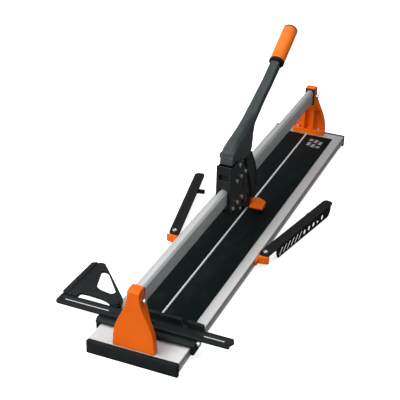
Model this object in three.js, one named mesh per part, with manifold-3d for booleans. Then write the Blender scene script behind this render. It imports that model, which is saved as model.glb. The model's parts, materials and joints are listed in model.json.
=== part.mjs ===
import * as THREE from "three";
import { mergeVertices } from "three/addons/utils/BufferGeometryUtils.js";
import Module from "manifold-3d";

const wasm = await Module();
wasm.setup();

// Driving sizes, in millimetres. X is to the right, Y runs from the fence end to the far end, Z is up.
const LENGTH = 1100;
const WIDTH = 190;
const FOOT_HEIGHT = 8;
const BASE_TOP = 28;
const MAT_THICKNESS = 2;
const MAT_EDGE = 72.5;
const BREAKING_BAR_WIDTH = 4;
const CAP_LENGTH = 9.5;
const SUPPORT_INSET = 10;
const SUPPORT_DEPTH = 24;
const SUPPORT_HALF_WIDTH = 44;
const RAIL_WIDTH = 18;
const RAIL_HEIGHT = 36;
const RAIL_BOTTOM = 118;
const RAIL_CHAMFER = 5;
const CHEEK_THICKNESS = 7.9;
const CARRIAGE_FRONT = -97;
const TOP_ROLLER_RADIUS = 9.7;
const LOW_ROLLER_RADIUS = 8;
const WHEEL_RADIUS = 14;
const GRIP_LENGTH = 107;
const GRIP_RADIUS = 17.5;
const GRIP_ANGLE = 28.2;
const RULER_LEFT = -202;
const RULER_RIGHT = 172;
const RULER_WIDTH = 30;
const FENCE_FRONT = 57;
const ARM_LENGTH = 290;
const ARM_WIDTH = 24;
const ARM_ANGLE = 11.5;
const GAP = 0.3;

// Heights and positions that follow from the driving sizes.
const halfLength = LENGTH / 2;
const halfWidth = WIDTH / 2;
const baseBottom = FOOT_HEIGHT + GAP;
const matBottom = BASE_TOP + GAP;
const matTop = matBottom + MAT_THICKNESS - GAP;
const supportOuter = halfLength - SUPPORT_INSET;
const supportInner = supportOuter - SUPPORT_DEPTH;
const railTop = RAIL_BOTTOM + RAIL_HEIGHT;
const linerWall = 1.2;
const linerHalf = RAIL_WIDTH / 2 + GAP + linerWall;
const slotHalf = linerHalf + GAP;
const supportTop = railTop + 6.5;
const headHalf = slotHalf + 1.8;
const socketDepth = SUPPORT_DEPTH - 6.7;
const channelHalf = RAIL_WIDTH / 2 + 0.6;
const cheekOuter = channelHalf + CHEEK_THICKNESS;
const pivot = { y: -46, z: railTop + 42 };
const wheelHinge = { y: -80, z: RAIL_BOTTOM - 14 };
const wheelCentre = { y: -30, z: RAIL_BOTTOM - 38 };
const fenceY = -halfLength + FENCE_FRONT;
const rulerNear = fenceY + 14;
const rulerFar = rulerNear + RULER_WIDTH;
const rulerBottom = matTop + 10.3;
const rulerTop = rulerBottom + 4.7;
const mitrePivot = { x: -84, y: rulerFar + 9 };
const armPivot = { x: halfWidth + 13, y: -107 };
const matNear = fenceY + 13;
const matFar = supportInner - 6.5;
const FACETS = { large: 36, medium: 20, small: 12 };

// Builders: outlines pushed along an axis, round solids and lofts, joined and cut as closed solids.
function toSolid(geometry) {
  const bare = geometry.clone();
  bare.deleteAttribute("normal");
  bare.deleteAttribute("uv");
  const merged = mergeVertices(bare, 1e-4);
  const source = new wasm.Mesh({
    numProp: 3,
    vertProperties: new Float32Array(merged.attributes.position.array),
    triVerts: new Uint32Array(merged.index.array),
  });
  source.merge();
  return new wasm.Manifold(source);
}

function toGeometry(solid) {
  const mesh = solid.getMesh();
  const geometry = new THREE.BufferGeometry();
  geometry.setAttribute("position", new THREE.Float32BufferAttribute(mesh.vertProperties, 3));
  geometry.setIndex(new THREE.Uint32BufferAttribute(mesh.triVerts, 1));
  const flat = geometry.toNonIndexed();
  flat.computeVertexNormals();
  return flat;
}

function union(...solids) {
  return solids.reduce((whole, piece) => whole.add(piece));
}

// Each corner is [across, up] or [across, up, round]; a third number rounds that corner.
function outline(corners) {
  const shape = new THREE.Shape();
  const count = corners.length;
  corners.forEach((corner, index) => {
    const here = new THREE.Vector2(corner[0], corner[1]);
    const before = corners[(index + count - 1) % count];
    const after = corners[(index + 1) % count];
    const toBefore = new THREE.Vector2(before[0], before[1]).sub(here);
    const toAfter = new THREE.Vector2(after[0], after[1]).sub(here);
    const round = Math.min(corner[2] || 0, 0.48 * Math.min(toBefore.length(), toAfter.length()));
    const start = here.clone().add(toBefore.setLength(round));
    const end = here.clone().add(toAfter.setLength(round));
    if (index === 0) {
      shape.moveTo(start.x, start.y);
    } else {
      shape.lineTo(start.x, start.y);
    }
    if (round > 0) {
      shape.quadraticCurveTo(here.x, here.y, end.x, end.y);
    }
  });
  shape.closePath();
  return shape;
}

function pushed(shape, depth, steps = 5) {
  const drawn = Array.isArray(shape) ? outline(shape) : shape;
  return new THREE.ExtrudeGeometry(drawn, { depth, bevelEnabled: false, curveSegments: steps });
}

// Outline in X and Y, pushed up from low to high.
function alongZ(shape, low, high, steps) {
  return toSolid(pushed(shape, high - low, steps).translate(0, 0, low));
}

// Outline in X and Z, pushed along Y from near to far.
function alongY(shape, near, far, steps) {
  return toSolid(pushed(shape, far - near, steps).rotateX(Math.PI / 2).translate(0, far, 0));
}

// Outline in Y and Z, pushed along X from left to right.
function alongX(shape, left, right, steps) {
  const geometry = pushed(shape, right - left, steps);
  geometry.applyMatrix4(new THREE.Matrix4().set(0, 0, 1, left, 1, 0, 0, 0, 0, 1, 0, 0, 0, 0, 0, 1));
  return toSolid(geometry);
}

function block(x0, x1, y0, y1, z0, z1) {
  return alongZ([[x0, y0], [x1, y0], [x1, y1], [x0, y1]], z0, z1);
}

// A profile of [radius, height] turned round an axis that starts at "at" and points along "axis".
function turned(profile, at, axis, facets = FACETS.medium) {
  const points = profile.map(([radius, height]) => new THREE.Vector2(radius, height));
  const geometry = new THREE.LatheGeometry(points, facets);
  const turn = new THREE.Quaternion().setFromUnitVectors(
    new THREE.Vector3(0, 1, 0), axis.clone().normalize(),
  );
  geometry.applyQuaternion(turn);
  geometry.translate(at.x, at.y, at.z);
  return toSolid(geometry);
}

const X_AXIS = new THREE.Vector3(1, 0, 0);
const Z_AXIS = new THREE.Vector3(0, 0, 1);

function rod(radius, length, at, axis, facets) {
  return turned([[0, 0], [radius, 0], [radius, length], [0, length]], at, axis, facets);
}

function rodX(radius, left, right, y, z, facets) {
  return rod(radius, right - left, new THREE.Vector3(left, y, z), X_AXIS, facets);
}

function rodZ(radius, low, high, x, y, facets) {
  return rod(radius, high - low, new THREE.Vector3(x, y, low), Z_AXIS, facets);
}

// A socket-head screw whose shank ends at "at" and whose head is out along "axis".
function socketScrew({ at, axis, shank, length, head, headHeight }) {
  const rim = 0.7;
  const body = turned(
    [[0, 0], [shank, 0], [shank, length], [head, length], [head, length + headHeight - rim],
      [head - rim, length + headHeight], [0, length + headHeight]],
    at, axis, FACETS.small,
  );
  const socketFloor = at.clone().addScaledVector(axis, length + headHeight * 0.45);
  return body.subtract(rod(head * 0.5, headHeight, socketFloor, axis, 6));
}

// A closed skin through rings. Each station has a low and a high point in Y and Z, a half width, and how
// far its top (crown) and its bottom (skirt) are rounded: 0 is square and 1 is fully round.
function lofted(stations) {
  const positions = [];
  const faces = [];
  const sectionOf = ({ crown, skirt }) => [
    [0, 1 - 0.5 * skirt], [0.05, 1 - 0.2 * skirt], [0.16, 1], [1 - 0.42 * crown, 1],
    [1 - 0.2 * crown, 0.84],
    [1 - 0.06 * crown, 0.5], [1, 0.2],
  ];
  const perRing = sectionOf(stations[0]).length * 2;
  const placeOn = (station, share, width) => {
    const y = THREE.MathUtils.lerp(station.low[0], station.high[0], share);
    const z = THREE.MathUtils.lerp(station.low[1], station.high[1], share);
    positions.push(station.half * width, y, z);
  };
  stations.forEach((station) => {
    const section = sectionOf(station);
    section.forEach(([share, width]) => placeOn(station, share, width));
    [...section].reverse().forEach(([share, width]) => placeOn(station, share, -width));
  });
  for (let ring = 0; ring < stations.length - 1; ring += 1) {
    for (let side = 0; side < perRing; side += 1) {
      const here = ring * perRing + side;
      const next = ring * perRing + ((side + 1) % perRing);
      faces.push(here, here + perRing, next, next, here + perRing, next + perRing);
    }
  }
  [[0, false], [stations.length - 1, true]].forEach(([ring, reversed]) => {
    const centre = positions.length / 3;
    const { low, high } = stations[ring];
    positions.push(0, (low[0] + high[0]) / 2, (low[1] + high[1]) / 2);
    for (let side = 0; side < perRing; side += 1) {
      const here = ring * perRing + side;
      const next = ring * perRing + ((side + 1) % perRing);
      faces.push(centre, reversed ? next : here, reversed ? here : next);
    }
  });
  const geometry = new THREE.BufferGeometry();
  geometry.setAttribute("position", new THREE.Float32BufferAttribute(positions, 3));
  geometry.setIndex(faces);
  return toSolid(geometry);
}

// Plain materials for each kind of surface.
const LOOKS = {
  aluminium: [0xd4d7d8, 0.38, 0.9],
  steel: [0xb9bdc0, 0.28, 1],
  casting: [0x4a4f52, 0.45, 0.6],
  fence: [0x3c4144, 0.5, 0.5],
  orange: [0xf07024, 0.4, 0],
  rubber: [0x1d2222, 0.85, 0],
  plastic: [0x1b1d1e, 0.5, 0],
};

const model = new THREE.Group();
model.name = "tile_cutter";

function place(name, solid, look) {
  const [color, roughness, metalness] = LOOKS[look];
  const material = new THREE.MeshStandardMaterial({ color, roughness, metalness });
  const mesh = new THREE.Mesh(toGeometry(solid), material);
  mesh.name = name;
  model.add(mesh);
}

// Base: an aluminium extrusion with open channels below and a groove along each side for the arm clips.
const grooveLow = baseBottom + 6.5;
const grooveHigh = BASE_TOP - 6;
const grooveDepth = 7;
const footBolt = {
  x: SUPPORT_HALF_WIDTH - 16, inset: 10, shank: 3, length: 18, head: 4.8, headHeight: 4.5,
};
const clampBolt = { inset: 10, z: railTop - 18.5, shank: 2.8, length: 4.4, head: 5.4, headHeight: 5.2 };
const flangeTop = BASE_TOP + 13;
const barDepth = 9;

function footBoltPlaces() {
  const places = [];
  for (const end of [-1, 1]) {
    for (const side of [-1, 1]) {
      places.push({ end, side, x: side * footBolt.x, y: end * (supportInner + footBolt.inset) });
    }
  }
  return places;
}

function basePlate() {
  const lip = 1.5;
  const half = [
    [halfWidth - lip, BASE_TOP], [halfWidth, BASE_TOP - lip], [halfWidth, grooveHigh],
    [halfWidth - grooveDepth, grooveHigh], [halfWidth - grooveDepth, grooveLow], [halfWidth, grooveLow],
    [halfWidth, baseBottom + lip], [halfWidth - lip, baseBottom],
  ];
  const mirrored = half.map(([x, z]) => [-x, z]).reverse();
  const end = halfLength - CAP_LENGTH - GAP;
  const barHalf = BREAKING_BAR_WIDTH / 2 + GAP;
  let plate = alongY([...half, ...mirrored], -end, end);
  const ribs = [8, 32, 56, halfWidth - 15];
  const wall = 3;
  for (let index = 0; index < ribs.length - 1; index += 1) {
    for (const side of [-1, 1]) {
      const inner = side * (ribs[index] + wall / 2);
      const outer = side * (ribs[index + 1] - wall / 2);
      const roof = BASE_TOP - 7;
      const channel = [
        [inner, baseBottom - 1], [outer, baseBottom - 1], [outer, roof, 2], [inner, roof, 2],
      ];
      plate = plate.subtract(alongY(channel, -end - 1, end + 1, 2));
    }
  }
  const barFloor = BASE_TOP - barDepth - GAP;
  plate = plate.subtract(
    block(-barHalf, barHalf, matNear - GAP, supportInner - 1 + GAP, barFloor, BASE_TOP + 1),
  );
  for (const spot of footBoltPlaces()) {
    plate = plate.subtract(
      rodZ(footBolt.shank + GAP, baseBottom - 1, BASE_TOP + 1, spot.x, spot.y, FACETS.small),
    );
  }
  return plate;
}

function endCap(end) {
  const outer = end * halfLength;
  const inner = end * (halfLength - CAP_LENGTH);
  const flare = 1.5;
  const wall = alongZ(
    [[-halfWidth, inner], [halfWidth, inner], [halfWidth + flare, outer, 9],
      [-halfWidth - flare, outer, 9]],
    0, BASE_TOP - 0.5,
  );
  const padReach = end * (halfLength - CAP_LENGTH - 28);
  const pad = alongZ(
    [[-halfWidth + 4, padReach, 6], [halfWidth - 4, padReach, 6], [halfWidth - 4, inner + end],
      [-halfWidth + 4, inner + end]],
    0, FOOT_HEIGHT,
  );
  return union(wall, pad);
}

function middleFoot() {
  const half = { x: halfWidth - 20, y: 20 };
  return alongZ(
    [[-half.x, -half.y, 8], [half.x, -half.y, 8], [half.x, half.y, 8], [-half.x, half.y, 8]], 0,
    FOOT_HEIGHT,
  );
}

function mat(side) {
  const inner = side * (BREAKING_BAR_WIDTH / 2 + 0.8);
  const outer = side * MAT_EDGE;
  return block(Math.min(inner, outer), Math.max(inner, outer), matNear, matFar, matBottom, matTop);
}

function breakingBar() {
  const half = BREAKING_BAR_WIDTH / 2;
  const low = BASE_TOP - barDepth;
  const high = matTop + 0.8;
  return alongY(
    [[-half, low], [half, low], [half, high, 0.8], [-half, high, 0.8]], matNear, supportInner - 1, 2,
  );
}

place("base_plate", basePlate(), "aluminium");
place("breaking_bar", breakingBar(), "steel");
place("left_mat", mat(-1), "rubber");
place("right_mat", mat(1), "rubber");
place("front_end_cap", endCap(-1), "rubber");
place("rear_end_cap", endCap(1), "rubber");
place("middle_foot", middleFoot(), "rubber");

// Supports: a bottle-shaped post at each end with a socket for the rail near its top.
function supportOutline(inset = 0) {
  const rise = supportTop - BASE_TOP;
  const flare = [[0.97, 0.17], [0.92, 0.3], [0.77, 0.45], [0.55, 0.6], [0.38, 0.73]];
  const right = [
    [SUPPORT_HALF_WIDTH - 1, BASE_TOP + GAP, 2],
    ...flare.map(([width, height]) => [SUPPORT_HALF_WIDTH * width, BASE_TOP + rise * height, 9]),
    [headHalf, BASE_TOP + rise * 0.86, 8],
    [headHalf, supportTop, 2.5],
  ];
  const trimmed = right.map(([x, z, round]) => [x - inset, z, round]);
  return [...trimmed, ...trimmed.map(([x, z, round]) => [-x, z, round]).reverse()];
}

// A thin flared plate with a rim, a head round the rail, two ribs below it and a bolted flange.
function support(end) {
  const span = (from, to) => [end * from, end * to].sort((low, high) => low - high);
  const [near, far] = span(supportInner, supportOuter);
  const plateThickness = 8;
  const ribInner = 8.5;
  const ribOuter = 15.5;
  const flangeHalf = SUPPORT_HALF_WIDTH - 1;
  const whole = alongY(supportOutline(), near, far, 4);
  const plate = alongY(supportOutline(), ...span(supportOuter - plateThickness, supportOuter), 4);
  const rimDepth = 14;
  const headSide = [
    [end * supportOuter, RAIL_BOTTOM - 24], [end * (supportOuter - rimDepth), RAIL_BOTTOM - 24],
    [end * supportInner, RAIL_BOTTOM + 2, 8], [end * supportInner, supportTop], [end * supportOuter, supportTop],
  ];
  const head = whole.intersect(alongX(headSide, -SUPPORT_HALF_WIDTH, SUPPORT_HALF_WIDTH, 5));
  const flange = alongZ(
    [[-flangeHalf, end * supportOuter], [flangeHalf, end * supportOuter],
      [flangeHalf, end * supportInner, 16], [-flangeHalf, end * supportInner, 16]],
    BASE_TOP + GAP, flangeTop, 6,
  );
  const rimWidth = 3.5;
  const rimSpan = span(supportOuter - rimDepth, supportOuter);
  const rim = alongY(supportOutline(), ...rimSpan, 4).subtract(
    alongY(supportOutline(rimWidth), rimSpan[0] - 1, rimSpan[1] + 1, 4),
  );
  let solid = union(plate, rim, head, flange);
  for (const side of [-1, 1]) {
    const [left, right] = [side * ribInner, side * ribOuter].sort((low, high) => low - high);
    solid = solid.add(block(left, right, near, far, BASE_TOP + GAP, supportTop).intersect(whole));
    const boltY = end * (supportInner + footBolt.inset);
    const hole = rodZ(
      footBolt.shank + GAP, BASE_TOP - 1, flangeTop + 1, side * footBolt.x, boltY, FACETS.small,
    );
    solid = solid.subtract(hole);
  }
  const room = linerWall + 2 * GAP;
  const socket = block(
    -slotHalf, slotHalf, ...span(supportInner - 1, supportInner + socketDepth), RAIL_BOTTOM - room,
    railTop + room,
  );
  const clampY = end * (supportInner + clampBolt.inset);
  const clampHole = rodX(
    clampBolt.shank + GAP, slotHalf - 1, SUPPORT_HALF_WIDTH, clampY, clampBolt.z, FACETS.small,
  );
  const headSeat = linerHalf + clampBolt.length;
  const spotFace = rodX(
    clampBolt.head + 1, headSeat, SUPPORT_HALF_WIDTH, clampY, clampBolt.z, FACETS.medium,
  );
  const cut = { deep: 7, drop: 4.5 };
  const topCut = alongX(
    [[end * (supportOuter - cut.deep), supportTop + 1], [end * (supportOuter - cut.deep), supportTop],
      [end * supportOuter, supportTop - cut.drop], [end * (supportOuter + 1), supportTop - cut.drop],
      [end * (supportOuter + 1), supportTop + 1]],
    -SUPPORT_HALF_WIDTH, SUPPORT_HALF_WIDTH,
  );
  return solid.subtract(socket).subtract(clampHole).subtract(spotFace).subtract(topCut);
}

function railLiner(end) {
  const span = (from, to) => [end * from, end * to].sort((low, high) => low - high);
  const lip = { thickness: 1.5, reach: 2 };
  const face = supportInner - GAP;
  const low = RAIL_BOTTOM - GAP - linerWall;
  const high = railTop + GAP + linerWall;
  const sleeve = block(
    -linerHalf, linerHalf, ...span(face - 1, supportInner + socketDepth - GAP), low, high,
  );
  const lipHalf = linerHalf + lip.reach;
  const front = block(
    -lipHalf, lipHalf, ...span(face - lip.thickness, face), low - lip.reach, high + lip.reach,
  );
  const bore = alongY(railProfile(GAP), ...span(face - lip.thickness - 1, supportOuter));
  return sleeve.add(front).subtract(bore);
}

function railProfile(grow) {
  const half = RAIL_WIDTH / 2 + grow;
  const low = RAIL_BOTTOM - grow;
  const high = railTop + grow;
  const cut = RAIL_CHAMFER;
  const right = [[half, low], [half, high - cut], [half - cut, high]];
  return [...right, ...right.map(([x, z]) => [-x, z]).reverse()];
}

function rail() {
  const end = supportInner + socketDepth - GAP - 1;
  const wall = 3;
  const solid = alongY(railProfile(0), -end, end);
  const half = RAIL_WIDTH / 2 - wall;
  const low = RAIL_BOTTOM + wall;
  const high = railTop - RAIL_CHAMFER - wall;
  const core = [[-half, low, 1], [half, low, 1], [half, high, 1], [-half, high, 1]];
  return solid.subtract(alongY(core, -end - 1, end + 1, 2));
}

function supportFootBolt(spot) {
  return socketScrew({
    ...footBolt, at: new THREE.Vector3(spot.x, spot.y, flangeTop + GAP - footBolt.length), axis: Z_AXIS,
  });
}

function railClampBolt(end) {
  return socketScrew({
    ...clampBolt, at: new THREE.Vector3(linerHalf + GAP, end * (supportInner + clampBolt.inset),
      clampBolt.z), axis: X_AXIS,
  });
}

place("front_support", support(-1), "orange");
place("rear_support", support(1), "orange");
place("front_rail_liner", railLiner(-1), "plastic");
place("rear_rail_liner", railLiner(1), "plastic");
place("rail", rail(), "aluminium");
for (const spot of footBoltPlaces()) {
  const endName = spot.end < 0 ? "front" : "rear";
  const sideName = spot.side < 0 ? "left" : "right";
  place(`${endName}_foot_bolt_${sideName}`, supportFootBolt(spot), "steel");
}
place("front_clamp_bolt", railClampBolt(-1), "steel");
place("rear_clamp_bolt", railClampBolt(1), "steel");

// Fence: a bar clamped across the base, with the sliding ruler, its lock and the mitre square on it.
const fenceReach = halfWidth + 9;
const fenceDeckTop = rulerBottom - GAP;
const fenceWall = {
  left: -40, right: fenceReach, near: rulerFar + 1, far: rulerFar + 8, top: rulerTop + 11,
};
const notch = { left: 57.5, right: 70 };
const lock = { x: -13, y: (rulerNear + rulerFar) / 2, shank: 2.7 };
const fenceClampAt = { y: fenceY + 14, z: (matTop + fenceDeckTop) / 2 - 0.2, shank: 3, depth: 10 };

function fenceBar() {
  const bottom = matTop + GAP;
  const deck = block(-fenceReach, fenceReach, fenceY + 11, fenceWall.far, bottom, fenceDeckTop);
  const nose = alongX(
    [[fenceY, bottom, 3], [fenceY + 12, bottom], [fenceY + 12, fenceDeckTop], [fenceY + 5, fenceDeckTop, 3],
      [fenceY, bottom + 5, 2]],
    -fenceReach, fenceReach, 4,
  );
  const { left, right, near, far, top } = fenceWall;
  const mitreRoom = block(-fenceReach - 1, left - 6, rulerFar - 8, far + 1, bottom - 1, fenceDeckTop + 1);
  const wall = alongY(
    [[left, bottom + 1], [right, bottom + 1], [right, top - 2, 3], [notch.right + 2, top, 2],
      [left, top, 4]], near, far, 4,
  );
  const notchFloor = fenceDeckTop + 1.5;
  const gap = [
    [notch.left, notchFloor, 5], [notch.right, notchFloor, 5], [notch.right, top + 1],
    [notch.left, top + 1],
  ];
  let bar = union(deck, nose).subtract(mitreRoom).add(wall).subtract(alongY(gap, near - 1, far + 1, 6));
  for (const side of [-1, 1]) {
    const inner = side * (halfWidth + 1);
    const outer = side * fenceReach;
    const hook = alongY(
      [[inner, grooveHigh - 8], [outer, grooveHigh - 8, 4], [outer, bottom + 2], [inner, bottom + 2]],
      fenceY + 2, fenceY + 26, 4,
    );
    bar = bar.add(hook);
  }
  const { y, z, shank, depth } = fenceClampAt;
  const clampHole = rodX(shank + GAP, fenceReach - depth - 0.5, fenceReach + 1, y, z, FACETS.small);
  const lockHole = rodZ(lock.shank + GAP, bottom - 1, fenceDeckTop + 1, lock.x, lock.y, FACETS.small);
  const barRoom = BREAKING_BAR_WIDTH / 2 + 1;
  const overBar = block(-barRoom, barRoom, fenceY - 1, far + 1, bottom - 1, matTop + 0.8 + GAP);
  return bar.subtract(clampHole).subtract(lockHole).subtract(overBar);
}

function fenceClamp() {
  const { y, z, shank, depth } = fenceClampAt;
  const start = new THREE.Vector3(fenceReach - depth, y, z);
  const seat = depth + GAP;
  const radius = 5;
  let knob = turned(
    [[0, 0], [shank, 0], [shank, seat], [radius - 0.6, seat], [radius, seat + 0.8], [radius, seat + 6],
      [radius - 1, seat + 7], [0, seat + 7]],
    start, X_AXIS, FACETS.medium,
  );
  const grooves = 8;
  for (let index = 0; index < grooves; index += 1) {
    const angle = (index / grooves) * 2 * Math.PI;
    const out = new THREE.Vector3(
      seat - 0.5, Math.cos(angle) * (radius + 0.4), Math.sin(angle) * (radius + 0.4),
    );
    knob = knob.subtract(rod(0.9, 9, start.clone().add(out), X_AXIS, 8));
  }
  return knob;
}

const scaleGroove = {
  near: rulerNear + 13, far: rulerNear + 16.2, depth: 1.1, dish: 0.5,
  spans: [[RULER_LEFT + 15, RULER_LEFT + 113], [111, 155]],
};

// A slot along X with fully rounded ends.
function roundSlot(left, right, near, far, low, high) {
  const round = (far - near) / 2 - 0.1;
  return alongZ(
    [[left, near, round], [right, near, round], [right, far, round], [left, far, round]], low, high, 5,
  );
}

function ruler() {
  const near = rulerNear;
  const far = rulerFar;
  const middle = (near + far) / 2;
  let solid = alongZ(
    [[RULER_LEFT, near, 8], [RULER_RIGHT - 3, near, 3], [RULER_RIGHT - 5, near + 9, 3],
      [RULER_RIGHT, far - 10, 2],
      [RULER_RIGHT - 5, far, 3], [RULER_LEFT, far, 3]],
    rulerBottom, rulerTop, 6,
  );
  for (const [left, right] of scaleGroove.spans) {
    const { near: low, far: high, depth, dish } = scaleGroove;
    solid = solid.subtract(
      roundSlot(left - 6, right + 6, low - 5, high + 5, rulerTop - dish, rulerTop + 1),
    );
    solid = solid.subtract(block(left, right, low, high, rulerTop - depth, rulerTop + 1));
  }
  const lockHalf = lock.shank + 0.4;
  const lockSlot = roundSlot(
    lock.x - 22, lock.x + 22, middle - lockHalf, middle + lockHalf, rulerBottom - 1, rulerTop + 1,
  );
  const notchMiddle = (notch.left + notch.right) / 2;
  const bite = rodZ(5.5, rulerBottom - 1, rulerTop + 1, notchMiddle, far, FACETS.medium);
  const lugHalf = 9;
  const lug = alongZ(
    [[mitrePivot.x - lugHalf, far - 6], [mitrePivot.x + lugHalf, far - 6],
      [mitrePivot.x + lugHalf, mitrePivot.y + 8, 7],
      [mitrePivot.x - lugHalf, mitrePivot.y + 8, 7]],
    rulerBottom - 3.5, rulerBottom + 1, 5,
  );
  const screwHole = rodZ(
    2.2 + GAP, rulerBottom - 5, rulerTop + 1, mitrePivot.x, mitrePivot.y, FACETS.small,
  );
  return solid.subtract(lockSlot).subtract(bite).add(lug).subtract(screwHole);
}

function rulerLock() {
  const low = matTop + 2;
  const height = rulerTop + GAP - low;
  const profile = [[0, 0], [lock.shank, 0], [lock.shank, height], [6.5, height], [6.5, height + 1.5],
    [8, height + 2.3],
    [8, height + 6], [7, height + 7.2], [0, height + 7.2]];
  return turned(profile, new THREE.Vector3(lock.x, lock.y, low), Z_AXIS, FACETS.medium);
}

// Corners of the mitre square are given from the ruler's left end and its far edge.
function mitreSquare() {
  const low = rulerBottom + 1 + GAP;
  const top = rulerTop + 2.5;
  const near = rulerFar + GAP;
  const fromEnd = (corners) => corners.map(([x, y, round]) => [RULER_LEFT + x, near + y, round]);
  const pivotAcross = mitrePivot.x - RULER_LEFT;
  const plate = alongZ(
    fromEnd([[1, 0, 2], [3, 122, 7], [27, 133, 8], [pivotAcross + 6, 26, 9], [pivotAcross + 7, 8],
      [pivotAcross - 8, 3], [pivotAcross - 14, 1]]),
    low, top, 6,
  );
  const end = rodZ(8.5, low, top, mitrePivot.x, mitrePivot.y, FACETS.medium);
  const corner = block(mitrePivot.x + 2, mitrePivot.x + 20, near - 1, near + 5, low - 1, top + 1);
  const slot = alongZ(
    fromEnd([[32, -2], [106, -2], [103, 7, 4], [86, 14, 10], [55, 16.5, 8], [35, 15, 4]]), low - 1,
    top + 1, 5,
  );
  const eye = alongZ(
    fromEnd([[35, 105, 13], [50, 105, 10], [98, 46, 10], [94, 34, 9], [54, 40, 26]]), low - 1, top + 1, 8,
  );
  const edge = alongZ(fromEnd([[1, 1, 1], [3.5, 120, 3], [14, 126, 2], [12, 6, 2]]), low + 1, top + 2.5, 4);
  const bolt = rodZ(2.2 + GAP, low - 1, top + 6, mitrePivot.x, mitrePivot.y, FACETS.small);
  return union(plate.subtract(corner), end, edge).subtract(slot).subtract(eye).subtract(bolt);
}

function mitreScrew() {
  const low = rulerBottom - 3.3;
  const height = rulerTop + 2.5 + GAP - low;
  const profile = [
    [0, 0], [2.2, 0], [2.2, height], [6.5, height], [6.8, height + 1.5], [6, height + 3.6],
    [0, height + 4.2],
  ];
  return turned(profile, new THREE.Vector3(mitrePivot.x, mitrePivot.y, low), Z_AXIS, FACETS.medium);
}

place("fence_bar", fenceBar(), "fence");
place("fence_clamp", fenceClamp(), "steel");
place("ruler", ruler(), "fence");
place("ruler_lock", rulerLock(), "plastic");
place("mitre_square", mitreSquare(), "fence");
place("mitre_screw", mitreScrew(), "plastic");

// Carriage: a casting that straddles the rail and rides on three rollers above it and two below.
const topRollerZ = railTop + GAP + TOP_ROLLER_RADIUS;
const lowRollerZ = RAIL_BOTTOM - GAP - LOW_ROLLER_RADIUS;
const topRollerYs = [-63, -37, -10];
const lowRollerYs = [-57, -29];
const pocketTop = topRollerZ + TOP_ROLLER_RADIUS + 2;
const trayFloor = pivot.z - 5;
const wallTop = pivot.z + 11;
const trayHalf = cheekOuter - 2.3;
const axleRadius = 3;
const pinRadius = 3.5;
const cheekBottom = RAIL_BOTTOM - 21;

function carriageBody() {
  const side = [
    [CARRIAGE_FRONT, RAIL_BOTTOM - 9, 2], [CARRIAGE_FRONT + 6, cheekBottom, 3], [-14, cheekBottom, 3],
    [-6, cheekBottom - 15, 4], [12, cheekBottom - 16, 4], [8, RAIL_BOTTOM - 8, 6], [1, RAIL_BOTTOM + 25, 8],
    [-3, topRollerZ + 6, 6], [-24, pocketTop + 13, 8], [-38, wallTop, 4], [CARRIAGE_FRONT + 8, wallTop, 3],
    [CARRIAGE_FRONT, wallTop + 4, 2],
  ];
  const channel = block(-channelHalf, channelHalf, CARRIAGE_FRONT - 1, 20, cheekBottom - 30, railTop + 1.2);
  const pocket = block(
    -channelHalf, channelHalf, topRollerYs[0] - 13, topRollerYs[2] + 30, railTop - 1, pocketTop,
  );
  const windowHalf = 10.5;
  const windowLow = pocketTop + 1.5;
  const windowHigh = trayFloor - 1.8;
  const window = alongY(
    [[-windowHalf, windowLow, 2], [windowHalf, windowLow, 2], [windowHalf, windowHigh, 2],
      [-windowHalf, windowHigh, 2]],
    CARRIAGE_FRONT - 1, CARRIAGE_FRONT + 9, 4,
  );
  const tray = block(-trayHalf, trayHalf, CARRIAGE_FRONT + 3.5, 20, trayFloor, wallTop + 5);
  const lugRoom = block(-8, 8, pivot.y - 11, pivot.y + 11, pivot.z - 9.5, trayFloor + 1);
  let body = alongX(side, -cheekOuter, cheekOuter, 4);
  body = body.subtract(channel).subtract(pocket).subtract(window).subtract(tray).subtract(lugRoom);
  const across = (radius, y, z) => rodX(radius + GAP, -cheekOuter - 1, cheekOuter + 1, y, z, FACETS.small);
  for (const y of topRollerYs) {
    body = body.subtract(across(axleRadius, y, topRollerZ));
  }
  for (const y of lowRollerYs) {
    body = body.subtract(across(axleRadius, y, lowRollerZ));
  }
  body = body.subtract(across(pinRadius, pivot.y, pivot.z)).subtract(
    across(axleRadius, wheelHinge.y, wheelHinge.z),
  );
  const panelDepth = 1.2;
  const panelNear = CARRIAGE_FRONT + 22;
  const panelFar = -20;
  const panelLow = RAIL_BOTTOM + 6;
  const panelHigh = railTop - 6;
  const panel = [
    [panelNear, panelLow, 3], [panelFar, panelLow, 3], [panelFar, panelHigh, 3], [panelNear, panelHigh, 3],
  ];
  body = body.subtract(alongX(panel, cheekOuter - panelDepth, cheekOuter + 1, 4));
  return body.subtract(alongX(panel, -cheekOuter - 1, panelDepth - cheekOuter, 4));
}

function roller(radius, y, z) {
  const half = channelHalf - 1.2;
  const bore = axleRadius + GAP;
  const waist = 0.6;
  return turned(
    [[bore, 0], [radius - waist, 0], [radius, waist], [radius, 2 * half - waist],
      [radius - waist, 2 * half],
      [bore, 2 * half], [bore, 0]],
    new THREE.Vector3(-half, y, z), X_AXIS, FACETS.medium,
  );
}

function rollerAxle(y, z) {
  return socketScrew({
    at: new THREE.Vector3(-cheekOuter + 1, y, z), axis: X_AXIS, shank: axleRadius,
    length: 2 * cheekOuter - 1 + GAP, head: 4.6, headHeight: 2.6,
  });
}

function handlePivotPin() {
  const length = 2 * cheekOuter + 2 * GAP;
  const head = 5.5;
  const start = new THREE.Vector3(-cheekOuter - GAP - 2, pivot.y, pivot.z);
  return turned(
    [[0, 0], [head - 0.7, 0], [head, 0.7], [head, 2], [pinRadius, 2], [pinRadius, 2 + length],
      [head, 2 + length],
      [head, 3.3 + length], [head - 0.7, 4 + length], [0, 4 + length]],
    start, X_AXIS, FACETS.medium,
  );
}

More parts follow.
